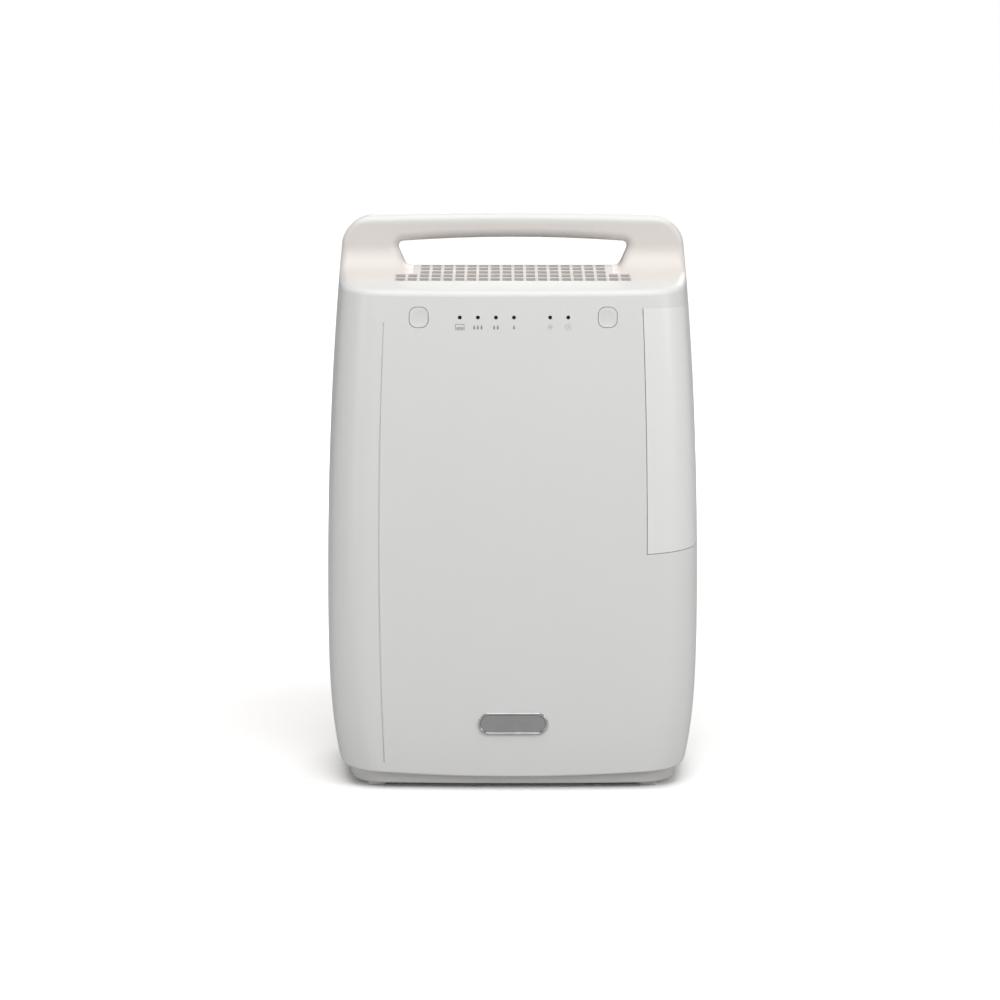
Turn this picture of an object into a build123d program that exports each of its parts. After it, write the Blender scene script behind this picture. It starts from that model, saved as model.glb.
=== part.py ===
from build123d import *
import os
from math import cos, radians, sin, tan

os.makedirs("parts", exist_ok=True)

# Compressor dehumidifier with a carrying handle moulded into its casing.
# Millimetres. X is to the right, Y to the back, Z up. The origin lies on the floor,
# under the middle of the body. The control face looks towards -Y.

# ------------------------------------------------------------------ driving dimensions
WIDTH, DEPTH, HEIGHT = 336.0, 214.0, 506.0
WALL = 2.6                    # moulded casing wall
SEAM = 0.6                    # gap between neighbouring casing pieces

BELLY_Z = 155.0               # height where the body is widest
HEAD_SPAN, FOOT_SPAN = 295.0, 147.0
SIDE_HEAD, SIDE_FOOT = 12.7, 11.5      # how far each side draws in towards head and foot
FACE_HEAD, FACE_FOOT = 8.0, 7.0        # the same for the front and the back
CORNER_R = 36.0
SIDE_BULGE, FACE_BULGE = 13.0, 4.0     # how far each wall bows out between its corners

RIDGE_Z = 460.0               # floor of the hand opening
SHOULDER_SLOPE = radians(9.65)
SCOOP_R = 24.0
BAR_HALF = 14.5               # half the depth of the handle bar
RIM_R = 6.0
BAR_UNDER_Z, BAR_UNDER_END_Z = 484.5, 480.5
HAND_TOP_HALF, HAND_FLOOR_HALF = 104.5, 88.0
TOP_EDGE_Z = 503.2            # height of the top edge above its rounded corners
TOP_CORNER_R = 29.0

SPLIT_Y = 10.0                # plane where the front and rear casings meet
CASING_FOOT_Z, CASING_FOOT_CORNER_Z = 12.5, 20.0
LOWER_EDGE_R = 1.8            # less than the wall, so the wall keeps a flat foot
PANEL_TOP_Z = 428.0
SEAM_X_TOP, SEAM_X_MID, SEAM_X_FOOT = 112.0, 117.3, 114.0

TANK_FRONT_Y, TANK_BACK_Y = -60.0, 78.0
TANK_FLOOR_Z = 24.0
DECK_Z, DECK_T = 219.5, 2.5

CONTROL_Z = 420.5
BUTTON_X, BUTTON_W, BUTTON_H, BUTTON_R = 81.6, 16.0, 17.2, 6.2
BUTTON_GAP = 0.5
LED_PITCH, LED_R = 15.6, 1.6
LED_FIRST_X, LED_SLOTS = -46.1, (0, 1, 2, 3, 5, 6)

FAN_Z, FAN_R, FAN_Y0, FAN_Y1 = 322.0, 68.0, -6.0, 36.0
SHAFT_R = 4.0
RUNNING_GAP = 0.05

COIL_HALF_X, COIL_FOOT_Z = 125.0, 236.0
COIL_ROWS, COIL_PITCH, COIL_TUBE_R = 8, 24.0, 3.5
EVAPORATOR_Y, CONDENSER_Y, FIN_DEPTH = 81.0, 59.0, 18.0

nodes = {}


# ------------------------------------------------------------------ shared shapes
def half_size(full, z, head, foot):
    """Half the body's width or depth at height z."""
    if z > BELLY_Z:
        return full / 2 - head * ((z - BELLY_Z) / HEAD_SPAN) ** 2
    return full / 2 - foot * ((BELLY_Z - z) / FOOT_SPAN) ** 3


def half_width(z):
    return half_size(WIDTH, z, SIDE_HEAD, SIDE_FOOT)


def half_depth(z):
    return half_size(DEPTH, z, FACE_HEAD, FACE_FOOT)


def plan_section(z, inset):
    """Rounded, bowed rectangle: the body's horizontal section."""
    w, d = half_width(z) - inset, half_depth(z) - inset
    cx, cy = w - SIDE_BULGE, d - FACE_BULGE
    outline = (
        ThreePointArc((-cx, -cy), (0, -d), (cx, -cy))
        + ThreePointArc((cx, -cy), (w, 0), (cx, cy))
        + ThreePointArc((cx, cy), (0, d), (-cx, cy))
        + ThreePointArc((-cx, cy), (-w, 0), (-cx, -cy))
    )
    face = make_face(outline)
    return Pos(0, 0, z) * fillet(face.vertices(), CORNER_R - inset)


def hull(low, high, inset=0.0, steps=8):
    """The body's smooth outer form between two heights."""
    heights = [low + (high - low) * i / steps for i in range(steps + 1)]
    return loft([plan_section(z, inset) for z in heights])


def block(x, y, z):
    """A box between three pairs of limits."""
    size = (x[1] - x[0], y[1] - y[0], z[1] - z[0])
    return Pos(x[0], y[0], z[0]) * Box(*size, align=(Align.MIN,) * 3)


def rod(radius, start, axis, length):
    """A round bar from a start point along +X, +Y or +Z."""
    plane = Plane(origin=start, z_dir=axis)
    return extrude(plane * Circle(radius), length)


def prism_y(sketch, low, high):
    """An X-Z sketch carried from y = low to y = high."""
    return Pos(0, high, 0) * extrude(Plane.XZ * sketch, high - low)


def prism_x(sketch, low, high):
    """A Y-Z sketch carried from x = low to x = high."""
    return Pos(low, 0, 0) * extrude(Plane.YZ * sketch, high - low)


def pipe(points, radius, bend):
    """A round tube's solid along straight runs joined by arcs."""
    path = FilletPolyline(*points, radius=bend)
    return sweep(Plane(origin=path @ 0, z_dir=path % 0) * Circle(radius), path=path)


def edges_where(solid, test):
    return [edge for edge in solid.edges() if test(edge.center())]


# ------------------------------------------------------------------ body form
def shoulder_z(y):
    return RIDGE_Z - abs(y) * tan(SHOULDER_SLOPE)


def scoop():
    """Space in front of the handle: a sloping shoulder that sweeps up into the bar."""
    foot_y = -BAR_HALF - SCOOP_R + SCOOP_R * sin(SHOULDER_SLOPE)
    foot_z = shoulder_z(foot_y)
    top_z = foot_z + SCOOP_R * cos(SHOULDER_SLOPE)
    half_turn = radians(-45) + SHOULDER_SLOPE / 2
    centre_y = -BAR_HALF - SCOOP_R
    middle = (centre_y + SCOOP_R * cos(half_turn), top_z + SCOOP_R * sin(half_turn))
    outer = -130.0
    over = HEIGHT + 40
    profile = (
        Line((outer, shoulder_z(outer)), (foot_y, foot_z))
        + ThreePointArc((foot_y, foot_z), middle, (-BAR_HALF, top_z))
        + Line((-BAR_HALF, top_z), (-BAR_HALF, over))
        + Line((-BAR_HALF, over), (outer, over))
        + Line((outer, over), (outer, shoulder_z(outer)))
    )
    return prism_x(make_face(profile), -WIDTH, WIDTH), top_z


def head_outline(inset):
    """Front view of the head: an arched top edge with rounded corners."""
    low_z = 430.0
    low_x = half_width(low_z) + 0.3 - inset
    high_x = half_width(TOP_EDGE_Z) + 0.3 - inset
    high_z = TOP_EDGE_Z - inset
    outline = (
        Line((-low_x, low_z), (-high_x, high_z))
        + ThreePointArc((-high_x, high_z), (0, HEIGHT - inset), (high_x, high_z))
        + Line((high_x, high_z), (low_x, low_z))
        + Line((low_x, low_z), (-low_x, low_z))
    )
    face = make_face(outline)
    corners = [v for v in face.vertices() if v.Y > low_z + 1]
    return fillet(corners, TOP_CORNER_R - inset)


def hand_outline(margin):
    """Front view of the hand opening, grown by a margin on every side but the floor."""
    top, floor = HAND_TOP_HALF + margin, HAND_FLOOR_HALF + margin
    end_z, mid_z = BAR_UNDER_END_Z + margin, BAR_UNDER_Z + margin
    outline = (
        Line((-floor, 440), (-top, end_z))
        + ThreePointArc((-top, end_z), (0, mid_z), (top, end_z))
        + Line((top, end_z), (floor, 440))
        + Line((floor, 440), (-floor, 440))
    )
    face = make_face(outline)
    return fillet([v for v in face.vertices() if v.Y > 470], 5 + margin)


def above_shoulder(lowered=0.0):
    """Everything above the saddle that runs from the front shoulder to the rear one."""
    end = 130.0
    face = make_face(
        Polyline(
            (-end, shoulder_z(end) - lowered),
            (0, RIDGE_Z - lowered),
            (end, shoulder_z(end) - lowered),
            (end, HEIGHT + 60),
            (-end, HEIGHT + 60),
            close=True,
        )
    )
    ridge = [v for v in face.vertices() if abs(v.X) < 1 and v.Y < RIDGE_Z + 1]
    return prism_x(fillet(ridge, 60), -WIDTH, WIDTH)


def foot_cutter():
    """Space below the casing's lower edge, which rises a little towards the corners."""
    edge = ThreePointArc(
        (-WIDTH / 2, CASING_FOOT_CORNER_Z), (0, CASING_FOOT_Z), (WIDTH / 2, CASING_FOOT_CORNER_Z)
    )
    sides = Polyline(
        (WIDTH / 2, CASING_FOOT_CORNER_Z), (WIDTH / 2, -20), (-WIDTH / 2, -20),
        (-WIDTH / 2, CASING_FOOT_CORNER_Z),
    )
    return prism_y(make_face(edge + sides), -DEPTH, DEPTH)


def body_form():
    """The closed outer form of the casing with its handle and hand opening."""
    front_scoop, bar_z = scoop()
    form = hull(4, HEIGHT + 24) - front_scoop - mirror(front_scoop, Plane.XZ)
    for side in (-1, 1):
        rim = [
            edge
            for edge in form.edges()
            if edge.geom_type != GeomType.LINE
            and edge.center().Z > shoulder_z(DEPTH / 2) - 6
            and edge.center().Y * side > BAR_HALF - 0.5
            and edge.center().Z < HEIGHT + 20
        ]
        form = form.fillet(RIM_R, rim)
    head = prism_y(head_outline(0), -BAR_HALF, BAR_HALF)
    head = head.fillet(
        RIM_R, edges_where(head, lambda c: abs(abs(c.Y) - BAR_HALF) < 0.1 and c.Z > 435)
    )
    below = block((-WIDTH, WIDTH), (-DEPTH, DEPTH), (-10, bar_z))
    form = form & (head + below)
    form -= prism_y(hand_outline(0), -DEPTH, DEPTH) & above_shoulder()
    grip = edges_where(
        form,
        lambda c: (abs(c.X) < 1 and abs(c.Z - BAR_UNDER_Z) < 1)
        or (90 < abs(c.X) < 104 and 12 < abs(c.Y) < 40 and 456 < c.Z < 484),
    )
    form = form.fillet(8, grip)
    form -= foot_cutter()
    lower_edge = edges_where(form, lambda c: c.Z < CASING_FOOT_CORNER_Z + 2)
    return form.fillet(LOWER_EDGE_R, lower_edge)


def body_space():
    """The room inside the casing walls, with the hollow of the handle."""
    room = hull(0, RIDGE_Z, WALL) - above_shoulder(WALL + 0.4)
    hollow = prism_y(head_outline(3.4) - hand_outline(8.0), -BAR_HALF + 4, SPLIT_Y)
    hollow &= block((-WIDTH, WIDTH), (-DEPTH, DEPTH), (RIDGE_Z + 3, HEIGHT))
    return room + hollow


# ------------------------------------------------------------------ casing seams
def seam_line(low, high):
    """The long upright seam in the front face, bowed like the body's side."""
    return ThreePointArc((SEAM_X_FOOT, low), (SEAM_X_MID, 200), (SEAM_X_TOP, high))


def seam_z(x):
    """Lower edge of the side panel: it climbs slightly towards the corner."""
    return 213.3 + 0.083 * (x - 116)


def right_of_seam(shift, z_low, z_high):
    """Front-view area to the right of the upright seam."""
    line = Pos(shift, 0, 0) * seam_line(z_low, z_high)
    far = WIDTH
    rest = Polyline(line @ 1, (far, z_high), (far, z_low), line @ 0)
    return make_face(line + rest)


def over_seam(shift):
    """Front-view area above the side panel's lower edge."""
    face = Polyline(
        (0, seam_z(0) + shift), (WIDTH, seam_z(WIDTH) + shift), (WIDTH, 700), (0, 700), close=True
    )
    return make_face(face)


def tank_window(gap):
    """The side of the casing that the water tank closes, less a gap all round."""
    area = Polyline(
        (100, TANK_FLOOR_Z + gap), (WIDTH, TANK_FLOOR_Z + gap), (WIDTH, seam_z(WIDTH) - gap),
        (100, seam_z(100) - gap), close=True,
    )
    return prism_y(make_face(area), TANK_FRONT_Y + gap, TANK_BACK_Y - gap)


# ------------------------------------------------------------------ casing
form = body_form()
shell = form - body_space()
whole = (-2 * WIDTH, 2 * WIDTH)
in_front = block(whole, (-2 * WIDTH, SPLIT_Y - SEAM / 2), whole)
behind = block(whole, (SPLIT_Y + SEAM / 2, 2 * WIDTH), whole)

panel_area = right_of_seam(SEAM / 2, 0, PANEL_TOP_Z) & over_seam(SEAM / 2)
panel_cut = right_of_seam(-SEAM / 2, 0, PANEL_TOP_Z) & over_seam(-SEAM / 2)
side_panel = shell & in_front & prism_y(panel_area, -DEPTH, DEPTH)
flange_area = right_of_seam(-9, 0, PANEL_TOP_Z - 6) & over_seam(1)
flange = hull(190, 440, WALL + 0.3) - hull(180, 450, WALL + 2.0)
flange &= prism_y(flange_area, -DEPTH, SPLIT_Y - 8)
root_area = right_of_seam(2, 0, PANEL_TOP_Z - 6) & over_seam(2)
bridge = (hull(190, 440, WALL - 0.4) - hull(180, 450, WALL + 0.7)) & prism_y(root_area, -DEPTH, 0)
nodes["side_panel"] = side_panel + flange + bridge

front_casing = (shell & in_front) - prism_y(panel_cut, -DEPTH, DEPTH) - tank_window(0)
groove = Pos(-0.45, 0, 0) * seam_line(26, 416)
groove_face = make_face(
    groove
    + Line(groove @ 1, (groove @ 1).add((0.9, 0, 0)))
    + Pos(0.9, 0, 0) * groove
    + Line((groove @ 0).add((0.9, 0, 0)), groove @ 0)
)
groove_cut = mirror(prism_y(groove_face, -DEPTH, 0), Plane.YZ) - hull(20, 430, 0.9)
front_casing -= groove_cut

rear_casing = (shell & behind) - tank_window(0)
lip = hull(30, 440, WALL + 0.3) - hull(20, 450, WALL + 2.0)
lip &= block(whole, (SPLIT_Y - 5, SPLIT_Y + 5), (30, 436))
lip_root = (hull(30, 440, WALL - 0.4) - hull(20, 450, WALL + 0.7)) & block(
    whole, (SPLIT_Y + SEAM / 2, SPLIT_Y + 5), (30, 436)
)
keep_clear = tank_window(-4)
rear_casing += (lip + lip_root) - keep_clear


# ------------------------------------------------------------------ outlet grille
GRILLE_HALF_X, GRILLE_HALF_Y, GRILLE_NECK_X = 104.0, 63.5, 88.0
GRILLE_COLUMNS, GRILLE_ROWS, GRILLE_RIB = 20, 5, 2.6


def grille_plan(margin):
    """Plan of the outlet grille: wide in front and behind, narrower under the bar."""
    x, y, neck = GRILLE_HALF_X + margin, GRILLE_HALF_Y + margin, GRILLE_NECK_X + margin
    step = 40.0 - margin
    area = make_face(
        Polyline(
            (-x, -y), (x, -y), (x, -step), (neck, -step + 6), (neck, step - 6), (x, step),
            (x, y), (-x, y), (-x, step), (-neck, step - 6), (-neck, -step + 6), (-x, -step),
            close=True,
        )
    )
    return extrude(Pos(0, 0, 400) * area, 90)


def outlet_grille():
    slab = (above_shoulder(WALL + 0.4) - above_shoulder(0.0)) & grille_plan(0)
    pitch_x = 2 * GRILLE_HALF_X / GRILLE_COLUMNS
    pitch_y = GRILLE_HALF_Y / GRILLE_ROWS
    window = Box(pitch_x - GRILLE_RIB, pitch_y - GRILLE_RIB, 80)
    slots = []
    for column in range(GRILLE_COLUMNS):
        x = (column + 0.5) * pitch_x - GRILLE_HALF_X
        for row in range(2 * GRILLE_ROWS):
            y = (row + 0.5) * pitch_y - GRILLE_HALF_Y
            under_pillar = abs(x) > GRILLE_NECK_X - 4 and abs(y) < 42
            if not under_pillar:
                slots.append(Pos(x, y, RIDGE_Z) * window)
    return slab - slots


nodes["outlet_grille"] = outlet_grille()
grille_seat = grille_plan(0.15) - above_shoulder(-0.5)
front_casing -= grille_seat
rear_casing -= grille_seat


# ------------------------------------------------------------------ control strip
def squircle(grow):
    return RectangleRounded(BUTTON_W + 2 * grow, BUTTON_H + 2 * grow, BUTTON_R + grow)


FLANGE_FRONT_Y, FLANGE_T = -95.6, 1.6
BOARD_Y, BOARD_T = -84.0, 1.6
STEM_END_Y = -89.4

for name, x in (("button_left", -BUTTON_X), ("button_right", BUTTON_X)):
    place = Pos(x, CONTROL_Z)
    front_casing -= prism_y(place * squircle(BUTTON_GAP), -DEPTH, -90)
    cap = prism_y(place * squircle(0), -DEPTH, FLANGE_FRONT_Y) & form
    dish_y = -half_depth(CONTROL_Z) + 1.35
    dish = Pos(x, dish_y - 60 + 0.55, CONTROL_Z) * Sphere(60)
    collar = prism_y(place * squircle(2.0), FLANGE_FRONT_Y, FLANGE_FRONT_Y + FLANGE_T)
    stem = rod(2.6, (x, FLANGE_FRONT_Y, CONTROL_Z), (0, 1, 0), STEM_END_Y - FLANGE_FRONT_Y)
    nodes[name] = (cap - dish) + collar + stem

led_x = [LED_FIRST_X + LED_PITCH * slot for slot in LED_SLOTS]
lens_stock = [rod(LED_R, (x, -DEPTH, CONTROL_Z), (0, 1, 0), DEPTH + BOARD_Y - 1.5) for x in led_x]
for x, stock in zip(led_x, lens_stock):
    front_casing -= rod(LED_R + 0.1, (x, -DEPTH, CONTROL_Z), (0, 1, 0), DEPTH - 90)
nodes["indicator_lenses"] = Compound([(stock & form).solid() for stock in lens_stock])

board_area = Pos(0, CONTROL_Z) * RectangleRounded(206, 34, 2)
control_board = prism_y(board_area, BOARD_Y, BOARD_Y + BOARD_T)
chip = block((-60, -46), (BOARD_Y + BOARD_T, BOARD_Y + BOARD_T + 2), (410, 424))
plug_row = block((20, 60), (BOARD_Y + BOARD_T, BOARD_Y + BOARD_T + 8), (406, 413))
led_chips = [block((x - 1.5, x + 1.5), (BOARD_Y - 1, BOARD_Y), (419, 422)) for x in led_x]
nodes["control_board"] = control_board + chip + plug_row + led_chips

switches = []
for x in (-BUTTON_X, BUTTON_X):
    base = block((x - 3, x + 3), (BOARD_Y - 3.4, BOARD_Y), (CONTROL_Z - 3, CONTROL_Z + 3))
    switches.append(base + rod(1.7, (x, BOARD_Y - 4.1, CONTROL_Z), (0, 1, 0), 1))
nodes["tact_switches"] = Compound([switch.solid() for switch in switches])

# Four posts moulded inside the front wall carry the control board, a screw in each.
POST_R, SCREW_R = 3.6, 1.4
board_screws = []
for x in (-97, 97):
    for z in (CONTROL_Z - 12, CONTROL_Z + 12):
        post = rod(POST_R, (x, -104, z), (0, 1, 0), BOARD_Y + 104) & form
        front_casing += post - rod(SCREW_R, (x, BOARD_Y - 9, z), (0, 1, 0), 10)
        nodes["control_board"] -= rod(SCREW_R + 0.2, (x, BOARD_Y - 1, z), (0, 1, 0), 4)
        head = rod(3.0, (x, BOARD_Y + BOARD_T, z), (0, 1, 0), 1.8)
        shank = rod(SCREW_R, (x, BOARD_Y - 8, z), (0, 1, 0), 8 + BOARD_T)
        board_screws.append((head + shank).solid())
nodes["control_board_screws"] = Compound(board_screws)


# ------------------------------------------------------------------ blank oval badge
BADGE_Z, BADGE_W, BADGE_H = 62.0, 62.0, 20.0
badge_back = -half_depth(BADGE_Z) + 1.2
badge = Pos(0, BADGE_Z) * SlotOverall(BADGE_W, BADGE_H)
badge_inner = Pos(0, BADGE_Z) * SlotOverall(BADGE_W - 4.4, BADGE_H - 4.4)
front_casing -= prism_y(badge, -DEPTH, badge_back)
rim = prism_y(badge - badge_inner, badge_back - 2.4, badge_back)
rim = rim.fillet(0.8, edges_where(rim, lambda c: abs(c.Y - (badge_back - 2.4)) < 0.1))
nodes["badge_rim"] = rim
plate = prism_y(badge_inner, badge_back - 1.6, badge_back)
nodes["badge_plate"] = plate.fillet(0.6, edges_where(plate, lambda c: c.Y < badge_back - 1.5))


# ------------------------------------------------------------------ rear intake
INTAKE_HALF_X, INTAKE_LOW_Z, INTAKE_HIGH_Z = 117.0, 232.0, 416.0
INTAKE_MID_Z = (INTAKE_LOW_Z + INTAKE_HIGH_Z) / 2
INTAKE_H = INTAKE_HIGH_Z - INTAKE_LOW_Z
GRID_Y, GRID_T = 91.5, 3.0
FILTER_Y = GRID_Y + GRID_T + 0.4


def intake_area(shrink, radius=8.0):
    size = (2 * (INTAKE_HALF_X - shrink), INTAKE_H - 2 * shrink)
    return Pos(0, INTAKE_MID_Z) * RectangleRounded(*size, radius)


def windows(area_w, area_h, columns, rows, bar):
    """A grid of rectangular holes with bars between them."""
    cell_w = (area_w - bar * (columns - 1)) / columns
    cell_h = (area_h - bar * (rows - 1)) / rows
    return GridLocations(cell_w + bar, cell_h + bar, columns, rows), cell_w, cell_h


frame_wall = prism_y(intake_area(-2.4, 10), GRID_Y + GRID_T, DEPTH) - prism_y(
    intake_area(0), 0, DEPTH
)
rear_casing -= prism_y(intake_area(0), SPLIT_Y + 8, DEPTH)
rear_casing += frame_wall & form

places, cell_w, cell_h = windows(2 * INTAKE_HALF_X - 12, INTAKE_H - 12, 26, 3, 3.0)
slots = [prism_y(Pos(0, INTAKE_MID_Z) * (p * Rectangle(cell_w, cell_h)), 80, 100) for p in places]
nodes["intake_grille"] = prism_y(intake_area(-2.4, 10), GRID_Y, GRID_Y + GRID_T) - slots

places, cell_w, cell_h = windows(2 * INTAKE_HALF_X - 20, INTAKE_H - 20, 6, 4, 3.2)
slots = [prism_y(Pos(0, INTAKE_MID_Z) * (p * Rectangle(cell_w, cell_h)), 80, 120) for p in places]
filter_frame = prism_y(intake_area(SEAM), FILTER_Y, DEPTH) & form
filter_frame -= slots
mesh_bed = prism_y(intake_area(5, 4), FILTER_Y, FILTER_Y + 0.8)
filter_frame -= mesh_bed
thumb = prism_y(Pos(0, INTAKE_HIGH_Z - 5.4) * RectangleRounded(44, 7, 3), 98.6, DEPTH)
filter_frame -= thumb
nodes["filter_frame"] = filter_frame
nodes["filter_mesh"] = prism_y(intake_area(5.1, 4), FILTER_Y + 0.1, FILTER_Y + 0.7)


# ------------------------------------------------------------------ base pan and feet
PAN_INSET, PAN_T = WALL + 3.0, 2.8
PAN_FLOOR_Z, PAN_RIM_Z = 4.5, 19.5
pan = hull(PAN_FLOOR_Z, PAN_RIM_Z, PAN_INSET) - hull(PAN_FLOOR_Z + PAN_T, 40, PAN_INSET + PAN_T)
pan = pan.fillet(2.0, edges_where(pan, lambda c: c.Z < PAN_FLOOR_Z + 0.1))

foot_shape = RectangleRounded(17, 15, 4)
feet = []
for x in (-121, 121):
    for y in (-75, 75):
        foot = extrude(Pos(x, y, 0) * foot_shape, PAN_FLOOR_Z)
        foot = foot.fillet(1.2, edges_where(foot, lambda c: c.Z < 0.1))
        feet.append(foot.solid())
nodes["feet"] = Compound(feet)


# ------------------------------------------------------------------ compressor
COMP_X, COMP_Y, COMP_R, COMP_LOW_Z, COMP_HIGH_Z = -80.0, -6.0, 54.0, 26.0, 192.0
MOUNT_R, MOUNT_ANGLES = 62.0, (30, 150, 270)
comp_here = Pos(COMP_X, COMP_Y, 0)


def can(radius, low, high, turn):
    """Upright drawn can with rounded ends."""
    body = rod(radius, (0, 0, low), (0, 0, 1), high - low)
    return body.fillet(turn, edges_where(body, lambda c: c.Z < low + 0.1 or c.Z > high - 0.1))


mount_points = [
    (COMP_X + MOUNT_R * cos(radians(a)), COMP_Y + MOUNT_R * sin(radians(a))) for a in MOUNT_ANGLES
]
ear_edges = [edge for x, y in mount_points for edge in (Pos(x, y) * Circle(11)).edges()]
mount_plate = extrude(Pos(0, 0, 22) * make_hull(ear_edges), 3)
seat = comp_here * extrude(Pos(0, 0, 22) * Circle(30), 16)
compressor = comp_here * can(COMP_R, COMP_LOW_Z, COMP_HIGH_Z, 16) + mount_plate + seat
compressor -= comp_here * can(COMP_R - 3, COMP_LOW_Z + 3, COMP_HIGH_Z - 3, 13)
band = comp_here * (Pos(0, 0, 150) * (Cylinder(COMP_R + 1, 6) - Cylinder(COMP_R - 1, 8)))
compressor += band
for x, y in mount_points:
    compressor -= Pos(x, y, 20) * Cylinder(6, 30)
nodes["compressor"] = compressor
core = comp_here * (Pos(0, 0, 112) * Cylinder(34, 96))
nodes["compressor_core"] = core

grommets, nuts = [], []
for x, y in mount_points:
    here = Pos(x, y, 0)
    low_pad = extrude(here * Pos(0, 0, PAN_FLOOR_Z + PAN_T) * Circle(9), 22 - PAN_FLOOR_Z - PAN_T)
    neck = extrude(here * Pos(0, 0, 22) * Circle(5.8), 3)
    top_pad = extrude(here * Pos(0, 0, 25) * Circle(9), 4)
    bore = extrude(here * Circle(3.2), 40)
    grommets.append((low_pad + neck + top_pad - bore).solid())
    pan += extrude(here * Pos(0, 0, PAN_FLOOR_Z + 1) * Circle(3.0), 34 - PAN_FLOOR_Z - 1)
    nut = extrude(here * Pos(0, 0, 29) * RegularPolygon(5.8, 6), 4) - bore
    nuts.append(nut.solid())
nodes["compressor_grommets"] = Compound(grommets)
nodes["compressor_nuts"] = Compound(nuts)
nodes["base_pan"] = pan

terminal = Pos(COMP_X, COMP_Y + 12, 0) * extrude(Pos(0, 0, COMP_HIGH_Z) * RectangleRounded(44, 34, 8), 15)
nodes["terminal_cover"] = terminal

ACC_X, ACC_Y, ACC_R = 6.0, -10.0, 19.0
accumulator = Pos(ACC_X, ACC_Y, 0) * can(ACC_R, 60, 170, 14)
nodes["suction_accumulator"] = accumulator
strap = block((COMP_X + 50, ACC_X - ACC_R + 3), (ACC_Y - 7, ACC_Y + 7), (118, 122))
nodes["accumulator_strap"] = strap - accumulator - comp_here * Cylinder(COMP_R + 1, 500)


# ------------------------------------------------------------------ water tank bay and deck
BAY_X, BAY_T = 40.0, 2.5
room = hull(PAN_FLOOR_Z + PAN_T, 440, WALL + 1.0)
bay_wall = block((BAY_X, BAY_X + BAY_T), (-DEPTH, DEPTH), (PAN_RIM_Z + 0.5, DECK_Z))
bay_floor = block((BAY_X, 150), (TANK_FRONT_Y, TANK_BACK_Y), (PAN_RIM_Z + 0.5, PAN_RIM_Z + 3))
guides = [
    block((BAY_X, 138), (y - 1.2, y + 1.2), (PAN_RIM_Z + 0.5, 70))
    for y in (TANK_FRONT_Y + 1.2, TANK_BACK_Y - 1.2)
]
bay = (bay_wall + bay_floor + guides) & room
bay -= hull(PAN_RIM_Z - 5, 60, WALL + 1.0) - hull(PAN_RIM_Z - 6, 61, PAN_INSET + PAN_T + 1)
nodes["tank_bay"] = bay.solids().sort_by(SortBy.VOLUME)[-1]

deck = hull(DECK_Z, DECK_Z + DECK_T, WALL + 2.2, steps=2)
SPOUT_X, SPOUT_Y, SPOUT_R = 104.0, 56.0, 6.0
deck -= rod(SPOUT_R + 1.5, (SPOUT_X, SPOUT_Y, 200), (0, 0, 1), 40)
DECK_BOSS_X = 122.0
for x in (-DECK_BOSS_X, DECK_BOSS_X):
    deck += block((x - 6, x + 6), (80, 92), (DECK_Z - 12, DECK_Z + 1))

TRAY_Z = DECK_Z + DECK_T
tray = block((-134, 134), (46, 92), (TRAY_Z, TRAY_Z + 7)) - block(
    (-132.4, 132.4), (47.6, 90.4), (TRAY_Z + 1.6, TRAY_Z + 20)
)
tray += rod(SPOUT_R, (SPOUT_X, SPOUT_Y, 203), (0, 0, 1), TRAY_Z - 203 + 1)
tray -= rod(SPOUT_R - 1.5, (SPOUT_X, SPOUT_Y, 190), (0, 0, 1), 60)
nodes["drip_tray"] = tray


# ------------------------------------------------------------------ water tank
TANK_X0, TANK_X1, TANK_Z0, TANK_Z1 = 46.0, 144.0, 25.0, 188.0
TANK_Y0, TANK_Y1, TANK_T = -56.0, 74.0, 2.0
tank = block((TANK_X0, TANK_X1), (TANK_Y0, TANK_Y1), (TANK_Z0, TANK_Z1))
tank = tank.fillet(10, edges_where(tank, lambda c: abs(c.Z - 106.5) < 1))
tank = tank.fillet(5, edges_where(tank, lambda c: c.Z < TANK_Z0 + 0.1))
tank_inside = block(
    (TANK_X0 + TANK_T, TANK_X1 - TANK_T), (TANK_Y0 + TANK_T, TANK_Y1 - TANK_T),
    (TANK_Z0 + TANK_T, TANK_Z1 + 5),
)
tank_inside = tank_inside.fillet(8, [e for e in tank_inside.edges() if e.length > TANK_Z1 - 30
                                     and abs(e.center().Z - 110) < 4])
nodes["tank_body"] = tank - tank_inside

lid_area = Pos((TANK_X0 + TANK_X1) / 2, (TANK_Y0 + TANK_Y1) / 2, TANK_Z1)
lid = extrude(lid_area * RectangleRounded(TANK_X1 - TANK_X0, TANK_Y1 - TANK_Y0, 10), 3)
lid += extrude(lid_area * Pos(0, 0, -4) * (
    RectangleRounded(93, 125, 8) - RectangleRounded(89, 121, 6)), 5)
lid -= rod(15, (SPOUT_X, SPOUT_Y - 8, 180), (0, 0, 1), 20)
lid += rod(17, (SPOUT_X, SPOUT_Y - 8, TANK_Z1), (0, 0, 1), 6) - rod(
    15, (SPOUT_X, SPOUT_Y - 8, 180), (0, 0, 1), 20)
pour = rod(13, (TANK_X1 - 20, TANK_Y0 + 20, TANK_Z1 - 5), (0, 0, 1), 16)
pour -= rod(11, (TANK_X1 - 20, TANK_Y0 + 20, 170), (0, 0, 1), 50)
lid = lid - rod(12, (TANK_X1 - 20, TANK_Y0 + 20, 170), (0, 0, 1), 50) + pour
nodes["tank_lid"] = lid

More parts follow.
